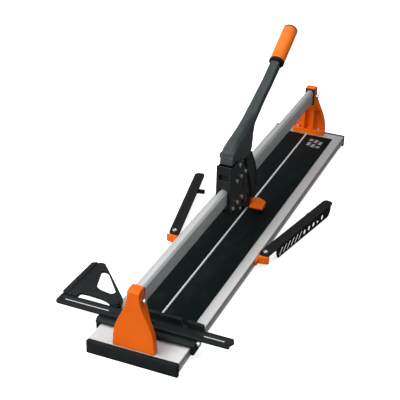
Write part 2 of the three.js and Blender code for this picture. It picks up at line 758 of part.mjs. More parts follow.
place("carriage_body", carriageBody(), "casting");
topRollerYs.forEach((y, index) => {
  place(`top_roller_${index + 1}`, roller(TOP_ROLLER_RADIUS, y, topRollerZ), "steel");
  place(`top_roller_axle_${index + 1}`, rollerAxle(y, topRollerZ), "steel");
});
lowRollerYs.forEach((y, index) => {
  place(`lower_roller_${index + 1}`, roller(LOW_ROLLER_RADIUS, y, lowRollerZ), "steel");
  place(`lower_roller_axle_${index + 1}`, rollerAxle(y, lowRollerZ), "steel");
});
place("handle_pivot_pin", handlePivotPin(), "steel");

// Scoring wheel: a fork hinged in the cheeks below the rail carries the hard wheel on its own axle.
function wheelFork() {
  const hinge = wheelHinge;
  const { y, z } = wheelCentre;
  const nose = [[y + 9, z - 5, 6], [y + 9, z + 5, 6]];
  const hub = rodX(7, -channelHalf + 1, channelHalf - 1, hinge.y, hinge.z, FACETS.medium);
  const neck = alongX(
    [[hinge.y - 6, hinge.z - 3, 3], [hinge.y + 4, hinge.z - 15, 5], [y - 4, z - 7, 5], ...nose,
      [y - 14, z + 11, 4], [hinge.y + 5, hinge.z - 3, 3], [hinge.y, hinge.z]],
    -channelHalf + 1, channelHalf - 1, 4,
  );
  const wide = alongX(
    [[y - 26, z - 7, 4], ...nose, [y - 14, z + 9, 4], [y - 26, z + 12, 4]], -cheekOuter + 2,
    cheekOuter - 2, 4,
  );
  const wheelSlot = block(-2.6, 2.6, y - WHEEL_RADIUS - 3, y + 30, z - 40, z + 40);
  const hingeBore = rodX(axleRadius + GAP, -20, 20, hinge.y, hinge.z, FACETS.small);
  const axleBore = rodX(2.2 + GAP, -20, 20, y, z, FACETS.small);
  return union(hub, neck, wide).subtract(wheelSlot).subtract(hingeBore).subtract(axleBore);
}

function scoringWheel() {
  const half = 1.8;
  const edge = 0.15;
  const bore = 2.2 + GAP;
  return turned(
    [[bore, 0], [WHEEL_RADIUS - 3, 0], [WHEEL_RADIUS, half - edge], [WHEEL_RADIUS, half + edge],
      [WHEEL_RADIUS - 3, 2 * half], [bore, 2 * half], [bore, 0]],
    new THREE.Vector3(-half, wheelCentre.y, wheelCentre.z), X_AXIS, FACETS.large,
  );
}

function wheelAxle() {
  const reach = cheekOuter - 2;
  return socketScrew({
    at: new THREE.Vector3(-reach + 0.5, wheelCentre.y, wheelCentre.z), axis: X_AXIS, shank: 2.2,
    length: 2 * reach - 0.5 + GAP, head: 4, headHeight: 2.4,
  });
}

place("wheel_fork", wheelFork(), "casting");
place("wheel_fork_pin", rollerAxle(wheelHinge.y, wheelHinge.z), "steel");
place("scoring_wheel", scoringWheel(), "steel");
place("wheel_axle", wheelAxle(), "steel");

// Handle: a cast lever that pivots in the carriage, with the breaker arm, its foot and the grip.
const hoodHalf = cheekOuter - 0.5;
const coreHalf = trayHalf - 0.6;
const hoodFloor = pivot.z + 0.5;
const armScrew = { y: 14, shank: 2.8, depth: 12, head: 5, headHeight: 3.6 };

// Every place on the lever is given from its pivot: along Y first, then up.
function fromPivot(y, z) {
  return [pivot.y + y, pivot.z + z];
}

function leverStations() {
  const ring = (low, high, half, crown, skirt) => (
    { low: fromPivot(...low), high: fromPivot(...high), half, crown, skirt }
  );
  return [
    ring([-34, 25], [-38, 30], hoodHalf * 0.72, 0.5, 0.6),
    ring([-27, 23], [-37, 40], hoodHalf * 0.94, 0.8, 0.2),
    ring([-14, 19], [-22, 51], hoodHalf, 0.9, 0),
    ring([4, 14], [2, 59], hoodHalf, 0.9, 0),
    ring([20, 5], [26, 64], hoodHalf, 0.85, 0),
    ring([34, 0.5], [46, 69], hoodHalf, 0.8, 0),
    ring([56, 0.5], [68, 74], hoodHalf, 0.75, 0),
    ring([75, 1], [82, 78], hoodHalf * 0.99, 0.7, 0.2),
    ring([79, 28], [96, 82], hoodHalf * 0.91, 0.7, 0.4),
    ring([91, 53], [112, 87], hoodHalf * 0.82, 0.6, 0.5),
    ring([120, 64], [130, 94], hoodHalf * 0.74, 0.45, 0.5),
    ring([156, 81], [152, 104], hoodHalf * 0.68, 0.3, 0.4),
    ring([206, 102], [199, 122], hoodHalf * 0.65, 0.25, 0.4),
    ring([262, 127], [252, 150], hoodHalf * 0.64, 0.25, 0.4),
  ];
}

const gripAxis = new THREE.Vector3(
  0, Math.cos(GRIP_ANGLE * Math.PI / 180), Math.sin(GRIP_ANGLE * Math.PI / 180),
);
const gripStart = new THREE.Vector3(0, pivot.y + 259, pivot.z + 139.5);
const gripUnder = new THREE.Vector3(0, gripAxis.z, -gripAxis.y);
const tangRadius = 6;
const collarLength = 8;
const gripEnd = 106;

function alongGrip(distance) {
  return gripStart.clone().addScaledVector(gripAxis, distance);
}

function handleLever() {
  const hood = lofted(leverStations());
  const core = alongX(
    [fromPivot(-42, 14), fromPivot(-24, 14), fromPivot(-8, 15), fromPivot(24, 15), fromPivot(24, 34),
      [...fromPivot(-38, 34), 6]],
    -coreHalf, coreHalf, 4,
  );
  const lug = union(
    rodX(8, -7, 7, pivot.y, pivot.z, FACETS.medium),
    alongX([fromPivot(-8, 0), fromPivot(8, 0), fromPivot(10, 26), fromPivot(-10, 26)], -7, 7),
  );
  const tang = rod(tangRadius, gripEnd, alongGrip(-8), gripAxis, FACETS.small);
  const bore = rodX(pinRadius + GAP, -20, 20, pivot.y, pivot.z, FACETS.medium);
  const screwHole = rodZ(
    armScrew.shank + GAP, hoodFloor - 5, hoodFloor + armScrew.depth + 1, 0, armScrew.y, FACETS.small,
  );
  const bossAt = fromPivot(-24, 27);
  const boss = rodX(7, -hoodHalf - 3.5, -hoodHalf + 6, ...bossAt, FACETS.medium);
  return union(hood, core, lug, tang, boss).subtract(bore).subtract(screwHole);
}

// Breaker arm: two curved blades beside the rail, joined above it under the hood and below it at the stem.
const armTopZ = hoodFloor - GAP;
const bladeInner = channelHalf + 0.8;
const bladeOuter = cheekOuter + 0.5;
const foot = { near: 40, far: 84, half: 44, low: matTop + 12, high: matTop + 24, gapHalf: 12.5 };
const footNeck = { near: foot.near + 15.5, far: foot.near + 31, low: foot.high - 7 };
const footScrew = {
  y: (footNeck.near + footNeck.far) / 2, shank: 2.4, depth: 12, head: 4.5, headHeight: 3,
};

function bladeEdges() {
  const inner = [
    [-5, armTopZ - 9], [1, railTop + 14], [12, railTop - 5], [26, RAIL_BOTTOM + 4], [37, RAIL_BOTTOM - 22],
  ];
  const outer = [
    [30, armTopZ - 4], [52, railTop + 8], [65, railTop - 17], [74, RAIL_BOTTOM - 9], [68, RAIL_BOTTOM - 27],
  ];
  return { inner, outer };
}

// A band between the blade's inner edge (0) and its outer edge (1).
function bladeBand(from, to, first, last) {
  const { inner, outer } = bladeEdges();
  const mix = (share) => inner.slice(first, last).map(([y, z], index) => {
    const [farY, farZ] = outer[first + index];
    return [y + (farY - y) * share, z + (farZ - z) * share, 10];
  });
  return [...mix(from), ...mix(to).reverse()];
}

function breakerArm() {
  const { inner, outer } = bladeEdges();
  const bridge = { near: 42, far: 66, low: RAIL_BOTTOM - 46, high: RAIL_BOTTOM - 37.5 };
  const bladeSide = [
    [-5, armTopZ], [30, armTopZ, 2], ...outer.map(([y, z]) => [y, z, 12]), [bridge.far, bridge.low, 4],
    [bridge.near, bridge.low, 4], ...[...inner].reverse().map(([y, z]) => [y, z, 12]),
  ];
  const top = block(-bladeOuter, bladeOuter, -5, 29, armTopZ - 8, armTopZ);
  const low = alongX(
    [[bridge.near, bridge.low, 3], [bridge.far, bridge.low, 3], [bridge.far, bridge.high, 3],
      [bridge.near, bridge.high, 3]],
    -bladeOuter, bladeOuter, 4,
  );
  const stem = block(-9, 9, footNeck.near, footNeck.far, foot.high + GAP, bridge.low + 2);
  const lip = block(
    -foot.gapHalf + 1, foot.gapHalf - 1, foot.near + 4, footNeck.near - 0.8, foot.low + 2, bridge.low + 2,
  );
  const lipJoin = block(-9, 9, foot.near + 6, footNeck.near + 2, foot.high + GAP, bridge.low + 1);
  let arm = union(top, low, stem, lip, lipJoin);
  for (const side of [-1, 1]) {
    const [left, right] = [side * bladeInner, side * bladeOuter].sort((a, b) => a - b);
    arm = arm.add(alongX(bladeSide, left, right, 6));
    const recess = [side * (bladeOuter - 2), side * (bladeOuter + 1)].sort((a, b) => a - b);
    arm = arm.subtract(alongX(bladeBand(0.55, 0.9, 0, 5), ...recess, 6));
  }
  const screwHole = rodZ(armScrew.shank + GAP, armTopZ - 12, armTopZ + 1, 0, armScrew.y, FACETS.small);
  const footHole = rodZ(
    footScrew.shank + GAP, foot.high - 1, foot.high + footScrew.depth + 1, 0, footScrew.y, FACETS.small,
  );
  return arm.subtract(screwHole).subtract(footHole);
}

// The foot has a pad on each side of the breaking bar and a thinner neck between them under the stem.
function breakerFoot() {
  const { near, far, half, low, high, gapHalf } = foot;
  const wedge = alongX(
    [[near + 4, low, 2], [far, low, 3], [far - 2, high, 4], [near + 14, high, 3], [near, low + 5, 3]],
    -half, half, 4,
  );
  const plan = alongZ(
    [[-half, near - 1, 3], [half, near - 1, 3], [half, far - 15, 4], [gapHalf + 5, far + 1, 8],
      [-gapHalf - 5, far + 1, 8],
      [-half, far - 15, 4]],
    low - 1, high + 1, 4,
  );
  const middle = block(-gapHalf, gapHalf, near - 1, far + 1, low - 1, high + 1);
  const neck = block(-gapHalf - 1, gapHalf + 1, footNeck.near, footNeck.far, footNeck.low, high);
  const hole = rodZ(footScrew.shank + GAP, low - 1, high + 1, 0, footScrew.y, FACETS.small);
  return wedge.intersect(plan).subtract(middle).add(neck).subtract(hole);
}

function footScrewSolid() {
  const top = foot.high + footScrew.depth;
  return socketScrew({
    ...footScrew, at: new THREE.Vector3(0, footScrew.y, top), axis: new THREE.Vector3(0, 0, -1),
    length: top - footNeck.low + GAP,
  });
}

function armScrewSolid() {
  const top = hoodFloor + armScrew.depth;
  return socketScrew({
    ...armScrew, at: new THREE.Vector3(0, armScrew.y, top), axis: new THREE.Vector3(0, 0, -1),
    length: top - (armTopZ - 8) + GAP,
  });
}

function gripSleeve() {
  const bore = tangRadius + GAP;
  return turned(
    [[bore, collarLength], [GRIP_RADIUS - 0.8, collarLength], [GRIP_RADIUS, collarLength + 1.5],
      [GRIP_RADIUS, gripEnd - 1], [GRIP_RADIUS - 0.5, gripEnd], [bore, gripEnd],
      [bore, collarLength]],
    gripStart, gripAxis, FACETS.large,
  );
}

function gripCollar() {
  const bore = tangRadius + GAP;
  const outer = GRIP_RADIUS + 0.4;
  const length = collarLength - GAP;
  const ring = turned(
    [[bore, 0], [outer - 3, 0], [outer, 2], [outer, length - 0.8], [outer - 0.8, length], [bore, length],
      [bore, 0]],
    alongGrip(0), gripAxis, FACETS.large,
  );
  const lug = rod(3.6, 12, alongGrip(3.8).addScaledVector(gripUnder, outer - 5), gripUnder, FACETS.small);
  return ring.add(lug);
}

function gripEndCap() {
  const outer = GRIP_RADIUS;
  return turned(
    [[0, 0], [outer - 0.4, 0], [outer, 0.6], [outer, 2], [outer - 1.2, 3.8], [outer - 4, 5.2], [0, 5.8]],
    alongGrip(gripEnd + GAP), gripAxis, FACETS.large,
  );
}

place("handle_lever", handleLever(), "casting");
place("breaker_arm", breakerArm(), "casting");
place("breaker_arm_screw", armScrewSolid(), "steel");
place("breaker_foot", breakerFoot(), "orange");
place("breaker_foot_screw", footScrewSolid(), "steel");
place("grip_collar", gripCollar(), "plastic");
place("grip_sleeve", gripSleeve(), "orange");
place("grip_end_cap", gripEndCap(), "plastic");

// Side arms: they slide in the base's grooves on orange clips and swing out to carry large tiles.
const armTop = BASE_TOP + 3;
const armPlate = 4;
const armLow = 3;

function armPlaced(solid, side) {
  return solid.rotate([0, 0, -side * ARM_ANGLE]).translate([side * armPivot.x, armPivot.y, 0]);
}

const webThickness = 1.8;
const webFar = ARM_LENGTH - 18;
const armHoles = {
  count: 5, radius: 6, pitch: 20.7, last: webFar - 36, z: (armLow + armTop - armPlate) / 2 - 0.5,
};
const pegAlong = armHoles.last - 0.5 * armHoles.pitch;

function sideArm(side) {
  const half = ARM_WIDTH / 2;
  const top = alongZ(
    [[-half, -half, half], [half, -half, half], [half, ARM_LENGTH, half], [-half, ARM_LENGTH, half]],
    armTop - armPlate, armTop, 8,
  );
  const across = (from, to) => [side * from, side * to].sort((low, high) => low - high);
  const webNear = 28;
  const web = alongX(
    [[webNear, armTop - 14, 4], [webNear + 6, armLow, 5], [webFar - 6, armLow, 5],
      [webFar + 4, armTop - 16, 6],
      [webFar + 4, armTop - 3], [webNear, armTop - 3]],
    ...across(half - webThickness, half), 4,
  );
  let arm = top.add(web);
  for (let index = 0; index < armHoles.count; index += 1) {
    const along = armHoles.last - index * armHoles.pitch;
    arm = arm.subtract(rodX(armHoles.radius, -half - 2, half + 2, along, armHoles.z, FACETS.medium));
  }
  const slots = {
    count: 6, first: webNear + 10, pitch: 17, wide: 7.5, lean: 14, low: armLow + 2.5,
    high: armTop - armPlate - 3,
  };
  for (let index = 0; index < slots.count; index += 1) {
    const start = slots.first + index * slots.pitch;
    const slot = [[start, slots.low, 2], [start + slots.wide, slots.low, 2],
      [start + slots.wide + slots.lean, slots.high, 2], [start + slots.lean, slots.high, 2]];
    arm = arm.subtract(alongX(slot, ...across(half - webThickness - 1, half + 1), 3));
  }
  const pegHole = rodX(2.5 + GAP, -half - 8, half + 8, pegAlong, armHoles.z, FACETS.small);
  arm = arm.subtract(rodZ(3 + GAP, armTop - 10, armTop + 1, 0, 0, FACETS.small)).subtract(pegHole);
  return armPlaced(arm, side);
}

function armPeg(side) {
  const half = ARM_WIDTH / 2;
  const start = new THREE.Vector3(side * half, pegAlong, armHoles.z);
  const inward = new THREE.Vector3(-side, 0, 0);
  const shoulder = webThickness + GAP;
  const length = 2 * half + 12;
  const profile = [
    [0, 0], [2.5, 0], [2.5, shoulder], [5.5, shoulder], [5.5, length - 2], [4.5, length], [0, length],
  ];
  return armPlaced(turned(profile, start, inward, FACETS.small), side);
}

// Clip: a tongue in the base's groove, a tab along its edge, a body below the arm's end and a screw lug.
function armClip(side) {
  const near = armPivot.y - 22;
  const far = armPivot.y - ARM_WIDTH / 2 - 1.5;
  const inner = halfWidth + GAP;
  const lugLow = armLow + 8;
  const lugTop = armTop - armPlate - GAP;
  const flip = (points) => points.map(([x, y, round]) => [side * x, y, round]);
  const body = alongZ(
    flip([[inner, near, 2], [inner + 20, near + 3, 5], [inner + 26, far - 2, 4], [inner + 26, far],
      [inner, far]]),
    12, armTop - 1.5, 5,
  );
  const tab = alongZ(
    flip([[inner, near - 13, 2], [inner + 4, near - 12, 2], [inner + 4, near + 3], [inner, near + 3]]), 13,
    25, 3,
  );
  const lug = alongZ(
    flip([[inner + 1, far - 2], [inner + 1, armPivot.y, 3], [armPivot.x - 6, armPivot.y + 9, 6],
      [armPivot.x + 8, armPivot.y + 8, 7], [armPivot.x + 9, far - 2]]),
    lugLow, lugTop, 5,
  );
  const tongueInner = halfWidth - grooveDepth + 0.6;
  const tongue = alongZ(
    flip([[tongueInner, near - 10, 2], [inner + 1, near - 10], [inner + 1, far - 1],
      [tongueInner, far - 1, 2]]),
    grooveLow + GAP, grooveHigh - GAP, 3,
  );
  const hole = rodZ(3 + GAP, lugLow - 1, lugTop + 1, side * armPivot.x, armPivot.y, FACETS.small);
  return union(body, tab, lug, tongue).subtract(hole);
}

function armPivotScrew(side) {
  const low = armLow + 9;
  return socketScrew({
    at: new THREE.Vector3(side * armPivot.x, armPivot.y, low), axis: Z_AXIS, shank: 3,
    length: armTop + GAP - low, head: 5.5, headHeight: 3,
  });
}

for (const [name, side] of [["left", -1], ["right", 1]]) {
  place(`${name}_arm_clip`, armClip(side), "orange");
  place(`${name}_arm`, sideArm(side), "plastic");
  place(`${name}_arm_peg`, armPeg(side), "plastic");
  place(`${name}_arm_pivot_screw`, armPivotScrew(side), "steel");
}

export default model;
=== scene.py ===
import json
import math

import bmesh
import bpy
from mathutils import Matrix, Vector


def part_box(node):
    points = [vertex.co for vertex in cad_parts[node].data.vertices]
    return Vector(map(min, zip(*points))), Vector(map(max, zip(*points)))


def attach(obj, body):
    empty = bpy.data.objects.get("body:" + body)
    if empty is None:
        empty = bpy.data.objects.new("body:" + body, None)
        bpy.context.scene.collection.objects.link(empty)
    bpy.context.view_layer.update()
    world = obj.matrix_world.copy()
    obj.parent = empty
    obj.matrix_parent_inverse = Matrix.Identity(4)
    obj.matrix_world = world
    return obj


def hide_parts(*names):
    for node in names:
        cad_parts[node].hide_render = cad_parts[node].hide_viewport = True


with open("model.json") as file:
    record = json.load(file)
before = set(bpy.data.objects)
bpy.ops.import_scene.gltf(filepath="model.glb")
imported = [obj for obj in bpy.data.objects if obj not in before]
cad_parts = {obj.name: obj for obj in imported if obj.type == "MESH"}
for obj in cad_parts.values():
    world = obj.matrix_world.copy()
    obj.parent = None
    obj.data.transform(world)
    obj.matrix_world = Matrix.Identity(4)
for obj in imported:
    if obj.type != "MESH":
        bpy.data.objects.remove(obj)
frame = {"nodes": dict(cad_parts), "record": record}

MM = 0.001
MERGE_DISTANCE = 0.01 * MM
FLAT_ANGLE = math.radians(1.0)
SHARP_ANGLE = math.radians(38.0)

# The view: where the camera stands, what it looks at, its lens and how far it leans.
CAMERA_PLACE = Vector((0.7236, -2.0058, 1.2490))
CAMERA_AIM = Vector((-0.134, 0.101, 0.0))
CAMERA_LENS = 96.7
CAMERA_ROLL = math.radians(1.62)
CAMERA_REACH = 50.0

# The studio: a glowing floor, and room light that comes mostly from one side.
FLOOR_HALF = 9.0
FLOOR_GLOW = 0.7
LIGHT_SIDE = Vector((-0.5, -0.55, 0.7)).normalized()
ROOM_BRIGHT = 0.95
ROOM_DIM = 0.1

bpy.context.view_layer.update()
nodes = frame["nodes"]
node_body = {
    member: body
    for body, members in frame["record"]["behaviour"]["bodies"].items()
    for member in members
}
scene = bpy.context.scene


# ---------------------------------------------------------------- finishes


def colour(red, green, blue):
    """A paint-shop colour, given as shares of 255, in the renderer's linear values."""
    def linear(share):
        share /= 255.0
        return share / 12.92 if share <= 0.04045 else ((share + 0.055) / 1.055) ** 2.4
    return (linear(red), linear(green), linear(blue), 1.0)


class NodeTree:
    """A node tree under construction, with short calls for adding and joining its nodes."""

    def node(self, kind, inputs=None, **settings):
        made = self.tree.nodes.new(kind)
        for key, value in settings.items():
            setattr(made, key, value)
        for key, value in (inputs or {}).items():
            self.feed(made.inputs[key], value)
        return made

    def feed(self, socket, value):
        """Joins another node's output to the socket, or sets the value that it holds."""
        if isinstance(value, bpy.types.NodeSocket):
            self.tree.links.new(value, socket)
        else:
            socket.default_value = value

    def maths(self, operation, first, second):
        return self.node("ShaderNodeMath", {0: first, 1: second}, operation=operation).outputs["Value"]


class Finish(NodeTree):
    """A material under construction: its patterns all follow object places."""

    def __init__(self, name):
        self.material = bpy.data.materials.new(name)
        self.material.use_nodes = True
        self.tree = self.material.node_tree
        self.shader = self.tree.nodes["Principled BSDF"]
        self.place = self.node("ShaderNodeTexCoord").outputs["Object"]

    def stretched(self, along):
        """Object places scaled by a factor for each axis, so that a pattern runs along the small ones."""
        return self.node("ShaderNodeMapping", {"Vector": self.place, "Scale": along}).outputs["Vector"]

    def noise(self, scale, detail=3.0, rough=0.5, place=None, distortion=0.0):
        inputs = {
            "Vector": place or self.place,
            "Scale": scale,
            "Detail": detail,
            "Roughness": rough,
            "Distortion": distortion,
        }
        return self.node("ShaderNodeTexNoise", inputs).outputs["Fac"]

    def cells(self, scale, place=None, feature="F1"):
        inputs = {"Vector": place or self.place, "Scale": scale}
        return self.node("ShaderNodeTexVoronoi", inputs, feature=feature).outputs["Distance"]

    def spread(self, value, low, high, to_low=0.0, to_high=1.0):
        """Maps low..high of a value to to_low..to_high and holds it there beyond."""
        inputs = {"Value": value, "From Min": low, "From Max": high, "To Min": to_low, "To Max": to_high}
        return self.node("ShaderNodeMapRange", inputs, clamp=True).outputs["Result"]

    def blend(self, share, first, second):
        inputs = {"Factor": share, "A": first, "B": second}
        made = self.tree.nodes.new("ShaderNodeMix")
        made.data_type = "RGBA"
        for key, value in inputs.items():
            wanted = "VALUE" if key == "Factor" else "RGBA"
            self.feed(next(s for s in made.inputs if s.name == key and s.type == wanted), value)
        return next(s for s in made.outputs if s.type == "RGBA")

    def bump(self, height, strength, distance, under=None):
        inputs = {"Height": height, "Strength": strength, "Distance": distance}
        if under is not None:
            inputs["Normal"] = under
        return self.node("ShaderNodeBump", inputs).outputs["Normal"]

    def edges(self, radius):
        """1 along rounded or sharp edges, where a painted highlight is laid, and 0 on the faces between them.
        """
        rounded = self.node("ShaderNodeBevel", {"Radius": radius}, samples=4).outputs["Normal"]
        straight = self.node("ShaderNodeNewGeometry").outputs["Normal"]
        match = self.node("ShaderNodeVectorMath", {0: rounded, 1: straight}, operation="DOT_PRODUCT")
        return self.spread(match.outputs["Value"], 0.8, 0.985, 1.0, 0.0)

    def finish(self, sockets):
        for key, value in sockets.items():
            self.feed(self.shader.inputs[key], value)
        self.material.diffuse_color = (0.5, 0.5, 0.5, 1.0)
        return self.material


def extruded_aluminium(name, pale, dull, rough, line_scale):
    """Anodised extrusion: fine die lines along Y, a slow drift of tone and small handling scratches."""
    made = Finish(name)
    lines = made.noise(line_scale, 4.0, 0.65, made.stretched((1.0, 0.012, 1.0)))
    drift = made.noise(9.0, 3.0, 0.5)
    grain = made.noise(2600.0, 2.0, 0.5)
    scratch_place = made.stretched((1.0, 0.09, 1.0))
    scratches = made.spread(made.noise(240.0, 5.0, 0.72, scratch_place, 1.4), 0.66, 0.74)
    tone = made.maths("ADD", made.maths("MULTIPLY", lines, 0.55), made.maths("MULTIPLY", drift, 0.45))
    base = made.blend(made.spread(tone, 0.36, 0.64), dull, pale)
    base = made.blend(made.maths("MULTIPLY", scratches, 0.35), base, colour(250, 251, 252))
    worn = made.maths("MULTIPLY", scratches, -0.1)
    roughness = made.maths("ADD", made.spread(tone, 0.3, 0.7, rough - 0.05, rough + 0.07), worn)
    height = made.maths("ADD", made.maths("MULTIPLY", lines, 0.8), made.maths("MULTIPLY", grain, 0.2))
    normal = made.bump(height, 0.12, 0.04 * MM)
    return made.finish({
        "Base Color": base, "Metallic": 0.55, "Roughness": roughness, "Normal": normal, "Anisotropic": 0.3,
    })


def turned_steel(name, bright, dull, rough):
    """Zinc-plated steel: mottled plating, fine grain and a few darker specks."""
    made = Finish(name)
    mottle = made.noise(420.0, 4.0, 0.6)
    spots = made.spread(made.cells(900.0), 0.0, 0.22)
    grain = made.noise(3800.0, 2.0, 0.5)
    base = made.blend(made.spread(mottle, 0.35, 0.68), dull, bright)
    base = made.blend(made.spread(spots, 0.0, 1.0, 0.25, 0.0), base, colour(96, 98, 100))
    roughness = made.spread(mottle, 0.3, 0.7, rough - 0.07, rough + 0.1)
    normal = made.bump(grain, 0.25, 0.02 * MM)
    return made.finish({"Base Color": base, "Metallic": 1.0, "Roughness": roughness, "Normal": normal})


def orange_enamel(name, bright, deep):
    """Powder-coated casting: orange-peel skin, slight drift of tone, faint scuffs and a clear top coat."""
    made = Finish(name)
    peel = made.noise(620.0, 3.0, 0.5)
    fine = made.noise(2400.0, 2.0, 0.5)
    drift = made.noise(22.0, 3.0, 0.55)
    scuffs = made.spread(made.noise(130.0, 6.0, 0.75, made.stretched((1.0, 0.35, 1.0)), 0.8), 0.66, 0.78)
    base = made.blend(made.spread(drift, 0.3, 0.7), deep, bright)
    base = made.blend(made.maths("MULTIPLY", scuffs, 0.14), base, colour(250, 150, 80))
    # Painted highlight: the edges are blended towards a lighter orange, standing in for the light that
    # catches them.
    base = made.blend(made.maths("MULTIPLY", made.edges(1.2 * MM), 0.4), base, colour(255, 150, 66))
    dulled = made.maths("MULTIPLY", scuffs, 0.15)
    roughness = made.maths("ADD", made.spread(peel, 0.3, 0.7, 0.34, 0.44), dulled)
    height = made.maths("ADD", made.maths("MULTIPLY", peel, 0.7), made.maths("MULTIPLY", fine, 0.3))
    normal = made.bump(height, 0.3, 0.09 * MM)
    return made.finish({
        "Base Color": base, "Roughness": roughness, "Normal": normal,
        "Coat Weight": 0.05, "Coat Roughness": 0.3, "Specular IOR Level": 0.16,
    })


def soft_grip(name, bright, deep):
    """Soft-touch rubber: leathery pebbling, a dry bloom in the hollows and a low sheen."""
    made = Finish(name)
    pebble = made.cells(1150.0)
    drift = made.noise(38.0, 3.0, 0.5)
    bloom = made.spread(made.noise(190.0, 4.0, 0.6), 0.5, 0.75)
    base = made.blend(made.spread(drift, 0.3, 0.7), deep, bright)
    base = made.blend(made.maths("MULTIPLY", bloom, 0.14), base, colour(250, 165, 90))
    roughness = made.spread(pebble, 0.0, 0.6, 0.5, 0.62)
    normal = made.bump(made.spread(pebble, 0.0, 0.55), 0.35, 0.08 * MM)
    return made.finish({
        "Base Color": base, "Roughness": roughness, "Normal": normal,
        "Sheen Weight": 0.08, "Sheen Roughness": 0.4, "Specular IOR Level": 0.35,
    })


def dark_casting(name, light, dark, rough, grain_size):
    """Satin grey powder coat over a die casting: sandy grain, soft waviness and rubbed lighter patches."""
    made = Finish(name)
    grain = made.noise(grain_size, 3.0, 0.6)
    wave = made.noise(60.0, 2.0, 0.5)
    drift = made.noise(14.0, 3.0, 0.5)
    rubbed = made.spread(made.noise(95.0, 5.0, 0.7, None, 0.6), 0.62, 0.78)
    base = made.blend(made.spread(drift, 0.3, 0.7), dark, light)
    base = made.blend(made.maths("MULTIPLY", rubbed, 0.18), base, colour(96, 102, 104))
    base = made.blend(made.spread(grain, 0.35, 0.6, 0.16, 0.0), base, colour(14, 16, 17))
    # Painted highlight: the edges are blended towards a lighter grey, standing in for the light that catches
    # them.
    base = made.blend(made.maths("MULTIPLY", made.edges(0.9 * MM), 0.45), base, colour(104, 111, 112))
    polished = made.maths("MULTIPLY", rubbed, 0.08)
    roughness = made.maths("SUBTRACT", made.spread(grain, 0.3, 0.7, rough, rough + 0.1), polished)
    height = made.maths("ADD", made.maths("MULTIPLY", grain, 0.6), made.maths("MULTIPLY", wave, 0.4))
    normal = made.bump(height, 0.32, 0.09 * MM)
    return made.finish({
        "Base Color": base, "Roughness": roughness, "Normal": normal, "Specular IOR Level": 0.22,
    })


def mat_rubber(name):
    """Rubber mat: narrow ribs along Y, a fine pebble and a trace of tile dust between them."""
    made = Finish(name)
    across = made.node("ShaderNodeSeparateXYZ", {"Vector": made.place}).outputs["X"]
    rib_pitch = 2.2 * MM
    wave = made.maths("SINE", made.maths("MULTIPLY", across, 2.0 * math.pi / rib_pitch), 0.0)
    pebble = made.noise(1900.0, 3.0, 0.55)
    dust = made.spread(made.noise(26.0, 6.0, 0.68, made.stretched((1.0, 0.45, 1.0))), 0.5, 0.82)
    base = made.blend(made.spread(pebble, 0.3, 0.7), colour(9, 15, 16), colour(17, 25, 26))
    base = made.blend(made.maths("MULTIPLY", dust, 0.03), base, colour(150, 150, 146))
    roughness = made.spread(pebble, 0.3, 0.7, 0.72, 0.88)
    height = made.maths("ADD", made.maths("MULTIPLY", wave, 0.35), made.maths("MULTIPLY", pebble, 0.5))
    normal = made.bump(height, 0.3, 0.12 * MM)
    return made.finish({
        "Base Color": base, "Roughness": roughness, "Normal": normal, "Specular IOR Level": 0.06,
    })


def black_moulding(name, light, dark, rough):
    """Moulded black plastic or rubber: spark-eroded grain with a slow drift of tone and faint grey scuffs."""
    made = Finish(name)
    grain = made.cells(1500.0)
    fine = made.noise(3000.0, 2.0, 0.5)
    drift = made.noise(30.0, 3.0, 0.5)
    scuffs = made.spread(made.noise(150.0, 6.0, 0.75, None, 1.0), 0.66, 0.8)
    base = made.blend(made.spread(drift, 0.3, 0.7), dark, light)
    base = made.blend(made.maths("MULTIPLY", scuffs, 0.14), base, colour(120, 122, 122))
    # Painted highlight: the edges are blended towards a lighter grey, standing in for the light that catches
    # them.
    base = made.blend(made.maths("MULTIPLY", made.edges(0.7 * MM), 0.35), base, colour(88, 92, 92))
    roughness = made.spread(grain, 0.0, 0.6, rough - 0.04, rough + 0.1)
    height = made.maths("ADD", made.maths("MULTIPLY", grain, 0.6), made.maths("MULTIPLY", fine, 0.3))
    normal = made.bump(height, 0.3, 0.06 * MM)
    return made.finish({
        "Base Color": base, "Roughness": roughness, "Normal": normal, "Specular IOR Level": 0.18,
    })


def pale_ink(name):
    """Screen-printed ink: slightly broken where it sits on the grain below."""
    made = Finish(name)
    broken = made.noise(1400.0, 4.0, 0.6)
    base = made.blend(made.spread(broken, 0.4, 0.6), colour(170, 174, 174), colour(228, 230, 230))
    roughness = made.spread(broken, 0.3, 0.7, 0.5, 0.7)
    normal = made.bump(broken, 0.2, 0.03 * MM)
    return made.finish({"Base Color": base, "Roughness": roughness, "Normal": normal})


def floor_paint(name):
    """Studio paper that gives off a little light, so that the shadows on it stay faint."""
    made = Finish(name)
    drift = made.noise(1.2, 3.0, 0.5)
    base = made.blend(drift, colour(247, 247, 247), colour(252, 252, 252))
    return made.finish({
        "Base Color": base, "Roughness": 0.85, "Specular IOR Level": 0.1,
        "Emission Color": colour(255, 255, 255), "Emission Strength": FLOOR_GLOW,
    })


